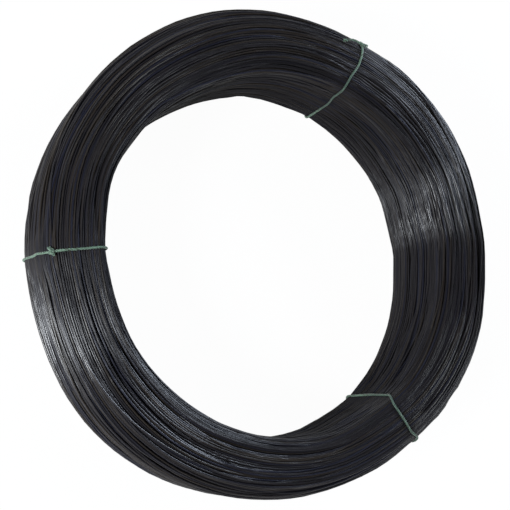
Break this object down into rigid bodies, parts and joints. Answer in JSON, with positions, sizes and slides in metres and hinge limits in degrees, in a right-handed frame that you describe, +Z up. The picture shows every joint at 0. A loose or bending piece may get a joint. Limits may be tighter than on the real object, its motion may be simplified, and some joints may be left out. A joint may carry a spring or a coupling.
{
  "type": "coil of binding wire",
  "caption": "Flat ring of soft black annealed binding wire wound round an open eye and held by green twine ties, as sold by weight for tying rebar and fences.",
  "frame": {"origin": "on the floor, on the axis of the coil's eye", "axes": "+Z up along the axis of the eye; +X to the right and +Y to the top as the picture shows the coil from above"},
  "size_m": [0.4, 0.4, 0.098],
  "materials": {
    "annealed_wire": "black annealing oxide, lightly oiled",
    "green_twine": "twisted plastic twine, slight sheen"
  },
  "bodies": {
    "root": {"wire_coil": "annealed_wire", "twine_tie_left": "green_twine", "twine_tie_upper_right": "green_twine", "twine_tie_lower_right": "green_twine"}
  },
  "joints": []
}
